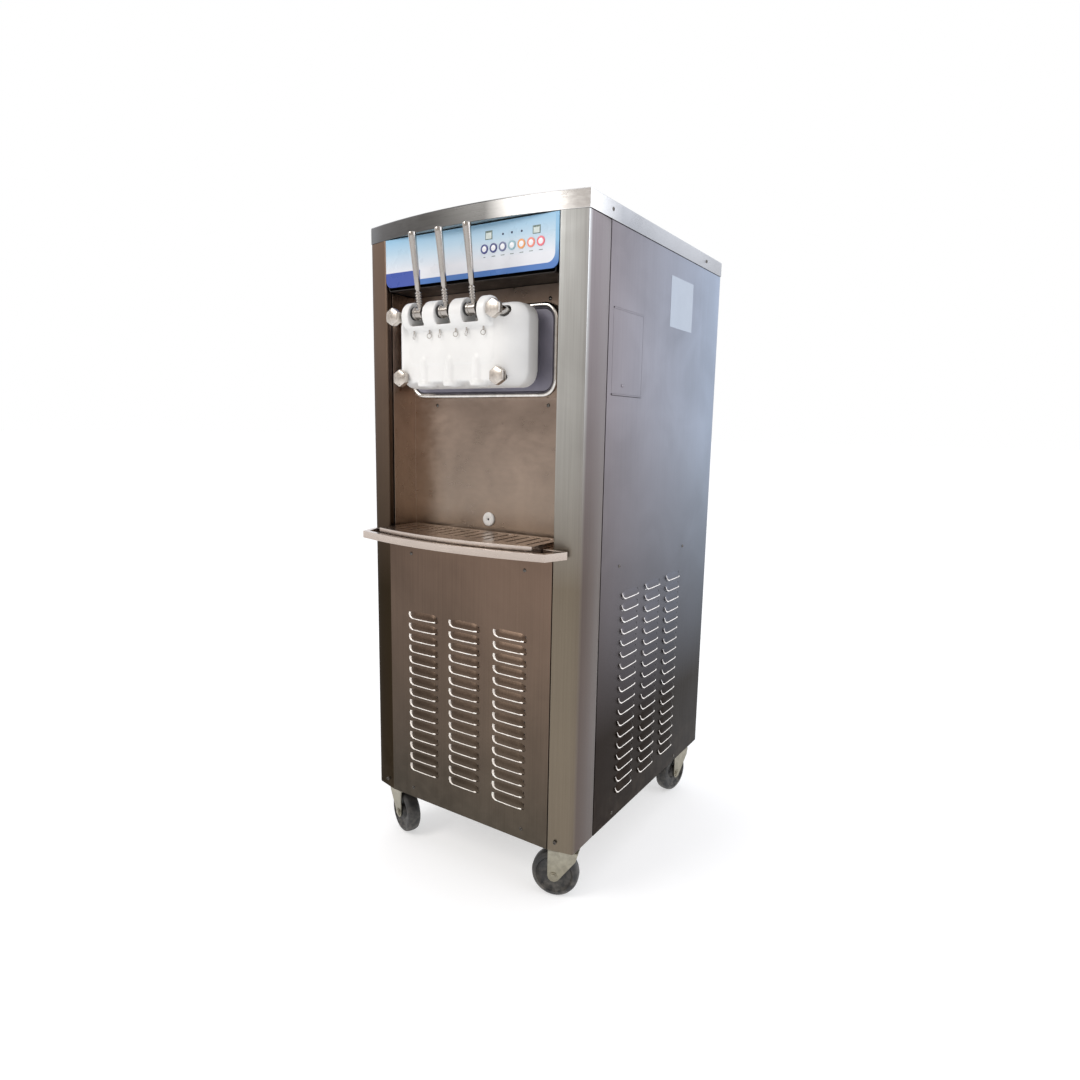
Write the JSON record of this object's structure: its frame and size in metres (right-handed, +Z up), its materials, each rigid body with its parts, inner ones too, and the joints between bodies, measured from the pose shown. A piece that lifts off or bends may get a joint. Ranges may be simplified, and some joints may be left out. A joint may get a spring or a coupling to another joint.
{
  "type": "floor-standing soft-serve ice cream machine",
  "caption": "Stainless steel floor-standing soft-serve machine on castors, with a white dispensing door, draw levers, drip tray, control panel, hoppers and freezing works.",
  "frame": {"origin": "on the floor, under the middle of the whole machine with its drip tray", "axes": "+Z up, -Y towards the front with the dispensing door, +X to the right of someone who faces the rear from the front"},
  "size_m": [0.546, 0.766, 1.379],
  "materials": {
    "stainless": "brushed, satin",
    "stainless_bright": "fine brushed, bright",
    "brushed_steel": "satin cast steel",
    "polished_steel": "polished",
    "white_acetal": "smooth white food-grade plastic",
    "grey_plate": "dark grey, satin",
    "black_rubber": "matt rubber",
    "castor_rubber": "hard black rubber, worn",
    "zinc_plate": "yellowish zinc plating",
    "control_overlay": "printed film, pale blue to white",
    "button_navy": "printed ring, white centre",
    "button_teal": "printed ring, white centre",
    "button_orange": "printed ring, white centre",
    "black_paint": "semi-gloss black enamel",
    "aluminium": "mill finish"
  },
  "bodies": {
    "cabinet": {"base_frame": "stainless", "inner_frame": "stainless", "left_corner_post": "stainless", "right_corner_post": "stainless", "left_side_panel": "stainless", "right_side_panel": "stainless", "back_panel": "stainless", "lower_front_panel": "stainless", "splash_panel": "stainless", "control_box": "stainless", "control_fascia": "control_overlay", "head_surround": "stainless_bright", "insulation_plate": "grey_plate", "door_seal": "black_rubber", "dispensing_door": "white_acetal", "pivot_pin": "polished_steel", "freezing_cylinder_left": "stainless", "drive_motor_left": "black_paint", "hopper_left": "stainless", "freezing_cylinder_right": "stainless", "drive_motor_right": "black_paint", "hopper_right": "stainless", "compressor": "black_paint", "condenser": "aluminium", "fan_motor": "black_paint"},
    "top_cover": {"top_cover": "stainless"},
    "hopper_cover_left": {"hopper_cover_left": "stainless"},
    "hopper_cover_right": {"hopper_cover_right": "stainless"},
    "button_1": {"button_1": "button_navy"},
    "button_2": {"button_2": "button_navy"},
    "button_3": {"button_3": "button_navy"},
    "button_4": {"button_4": "button_teal"},
    "button_5": {"button_5": "button_orange"},
    "button_6": {"button_6": "button_orange"},
    "button_7": {"button_7": "button_orange"},
    "drip_tray": {"drip_tray": "stainless"},
    "drip_grid": {"drip_grid": "stainless_bright"},
    "leak_tube": {"leak_tube": "white_acetal"},
    "lever_left": {"lever_left": "polished_steel"},
    "draw_valve_left": {"draw_valve_left": "white_acetal"},
    "lever_middle": {"lever_middle": "polished_steel"},
    "draw_valve_middle": {"draw_valve_middle": "white_acetal"},
    "lever_right": {"lever_right": "polished_steel"},
    "draw_valve_right": {"draw_valve_right": "white_acetal"},
    "knob_bottom_left": {"knob_bottom_left": "brushed_steel"},
    "knob_bottom_right": {"knob_bottom_right": "brushed_steel"},
    "knob_top_left": {"knob_top_left": "brushed_steel"},
    "knob_top_right": {"knob_top_right": "brushed_steel"},
    "castor_fork_fl": {"castor_fork_fl": "zinc_plate"},
    "castor_wheel_fl": {"castor_wheel_fl": "castor_rubber"},
    "castor_fork_fr": {"castor_fork_fr": "zinc_plate"},
    "castor_wheel_fr": {"castor_wheel_fr": "castor_rubber"},
    "castor_fork_bl": {"castor_fork_bl": "zinc_plate"},
    "castor_wheel_bl": {"castor_wheel_bl": "castor_rubber"},
    "castor_fork_br": {"castor_fork_br": "zinc_plate"},
    "castor_wheel_br": {"castor_wheel_br": "castor_rubber"},
    "beater_left": {"beater_left": "polished_steel"},
    "beater_right": {"beater_right": "polished_steel"},
    "fan_blade": {"fan_blade": "aluminium"},
    "side_hatch": {"side_hatch": "stainless"}
  },
  "joints": [
    {"name": "top_cover_lift", "type": "slide", "parent": "cabinet", "child": "top_cover", "axis": [0, 0, 1], "range_m": [0, 0.3]},
    {"name": "hopper_cover_left_lift", "type": "slide", "parent": "cabinet", "child": "hopper_cover_left", "axis": [0, 0, 1], "range_m": [0, 0.008]},
    {"name": "hopper_cover_right_lift", "type": "slide", "parent": "cabinet", "child": "hopper_cover_right", "axis": [0, 0, 1], "range_m": [0, 0.008]},
    {"name": "button_1_press", "type": "slide", "parent": "cabinet", "child": "button_1", "axis": [0, 1, 0], "range_m": [0, 0.001], "stiffness_N_per_m": 400},
    {"name": "button_2_press", "type": "slide", "parent": "cabinet", "child": "button_2", "axis": [0, 1, 0], "range_m": [0, 0.001], "stiffness_N_per_m": 400},
    {"name": "button_3_press", "type": "slide", "parent": "cabinet", "child": "button_3", "axis": [0, 1, 0], "range_m": [0, 0.001], "stiffness_N_per_m": 400},
    {"name": "button_4_press", "type": "slide", "parent": "cabinet", "child": "button_4", "axis": [0, 1, 0], "range_m": [0, 0.001], "stiffness_N_per_m": 400},
    {"name": "button_5_press", "type": "slide", "parent": "cabinet", "child": "button_5", "axis": [0, 1, 0], "range_m": [0, 0.001], "stiffness_N_per_m": 400},
    {"name": "button_6_press", "type": "slide", "parent": "cabinet", "child": "button_6", "axis": [0, 1, 0], "range_m": [0, 0.001], "stiffness_N_per_m": 400},
    {"name": "button_7_press", "type": "slide", "parent": "cabinet", "child": "button_7", "axis": [0, 1, 0], "range_m": [0, 0.001], "stiffness_N_per_m": 400},
    {"name": "drip_tray_pull", "type": "slide", "parent": "cabinet", "child": "drip_tray", "axis": [0, -1, 0], "range_m": [0, 0.2]},
    {"name": "drip_grid_lift", "type": "slide", "parent": "drip_tray", "child": "drip_grid", "axis": [0, 0, 1], "range_m": [0, 0.03]},
    {"name": "leak_tube_pull", "type": "slide", "parent": "cabinet", "child": "leak_tube", "axis": [0, -1, 0], "range_m": [0, 0.04]},
    {"name": "lever_left_pull", "type": "hinge", "parent": "cabinet", "child": "lever_left", "pos_m": [-0.066, -0.35, 1.18], "axis": [1, 0, 0], "range_deg": [0, 40]},
    {"name": "draw_valve_left_lift", "type": "slide", "parent": "cabinet", "child": "draw_valve_left", "axis": [0, 0, 1], "range_m": [0, 0.0145]},
    {"name": "lever_middle_pull", "type": "hinge", "parent": "cabinet", "child": "lever_middle", "pos_m": [0, -0.35, 1.18], "axis": [1, 0, 0], "range_deg": [0, 40]},
    {"name": "draw_valve_middle_lift", "type": "slide", "parent": "cabinet", "child": "draw_valve_middle", "axis": [0, 0, 1], "range_m": [0, 0.0145]},
    {"name": "lever_right_pull", "type": "hinge", "parent": "cabinet", "child": "lever_right", "pos_m": [0.066, -0.35, 1.18], "axis": [1, 0, 0], "range_deg": [0, 40]},
    {"name": "draw_valve_right_lift", "type": "slide", "parent": "cabinet", "child": "draw_valve_right", "axis": [0, 0, 1], "range_m": [0, 0.0145]},
    {"name": "knob_bottom_left_turn", "type": "hinge", "parent": "cabinet", "child": "knob_bottom_left", "pos_m": [-0.121, -0.332, 1.058], "axis": [0, 1, 0], "continuous": true},
    {"name": "knob_bottom_right_turn", "type": "hinge", "parent": "cabinet", "child": "knob_bottom_right", "pos_m": [0.121, -0.332, 1.058], "axis": [0, 1, 0], "continuous": true},
    {"name": "knob_top_left_turn", "type": "hinge", "parent": "cabinet", "child": "knob_top_left", "pos_m": [-0.123, -0.332, 1.175], "axis": [0, 1, 0], "continuous": true},
    {"name": "knob_top_right_turn", "type": "hinge", "parent": "cabinet", "child": "knob_top_right", "pos_m": [0.123, -0.332, 1.175], "axis": [0, 1, 0], "continuous": true},
    {"name": "castor_fl_swivel", "type": "hinge", "parent": "cabinet", "child": "castor_fork_fl", "pos_m": [-0.234, -0.244, 0.11], "axis": [0, 0, 1], "continuous": true},
    {"name": "castor_fl_roll", "type": "hinge", "parent": "castor_fork_fl", "child": "castor_wheel_fl", "pos_m": [-0.21175, -0.25299, 0.05], "axis": [0.3746, 0.9272, 0], "continuous": true},
    {"name": "castor_fr_swivel", "type": "hinge", "parent": "cabinet", "child": "castor_fork_fr", "pos_m": [0.234, -0.244, 0.11], "axis": [0, 0, 1], "continuous": true},
    {"name": "castor_fr_roll", "type": "hinge", "parent": "castor_fork_fr", "child": "castor_wheel_fr", "pos_m": [0.21131, -0.25181, 0.05], "axis": [0.3256, -0.9455, 0], "continuous": true},
    {"name": "castor_bl_swivel", "type": "hinge", "parent": "cabinet", "child": "castor_fork_bl", "pos_m": [-0.234, 0.328, 0.11], "axis": [0, 0, 1], "continuous": true},
    {"name": "castor_bl_roll", "type": "hinge", "parent": "castor_fork_bl", "child": "castor_wheel_bl", "pos_m": [-0.22779, 0.30482, 0.05], "axis": [0.9659, 0.2588, 0], "continuous": true},
    {"name": "castor_br_swivel", "type": "hinge", "parent": "cabinet", "child": "castor_fork_br", "pos_m": [0.234, 0.328, 0.11], "axis": [0, 0, 1], "continuous": true},
    {"name": "castor_br_roll", "type": "hinge", "parent": "castor_fork_br", "child": "castor_wheel_br", "pos_m": [0.22983, 0.30436, 0.05], "axis": [0.9848, -0.1736, 0], "continuous": true},
    {"name": "beater_left_turn", "type": "hinge", "parent": "cabinet", "child": "beater_left", "pos_m": [-0.078, -0.082, 1.1115], "axis": [0, 1, 0], "continuous": true},
    {"name": "beater_right_turn", "type": "hinge", "parent": "cabinet", "child": "beater_right", "pos_m": [0.078, -0.082, 1.1115], "axis": [0, 1, 0], "continuous": true},
    {"name": "fan_turn", "type": "hinge", "parent": "cabinet", "child": "fan_blade", "pos_m": [0, -0.197, 0.355], "axis": [0, 1, 0], "continuous": true},
    {"name": "side_hatch_swing", "type": "hinge", "parent": "cabinet", "child": "side_hatch", "pos_m": [0.268, -0.116, 1.1938], "axis": [0, -1, 0], "range_deg": [0, 100]}
  ],
  "couplings": [
    {"joint": "draw_valve_left_lift", "follows": "lever_left_pull", "m_per_rad": 0.02},
    {"joint": "draw_valve_middle_lift", "follows": "lever_middle_pull", "m_per_rad": 0.02},
    {"joint": "draw_valve_right_lift", "follows": "lever_right_pull", "m_per_rad": 0.02}
  ]
}
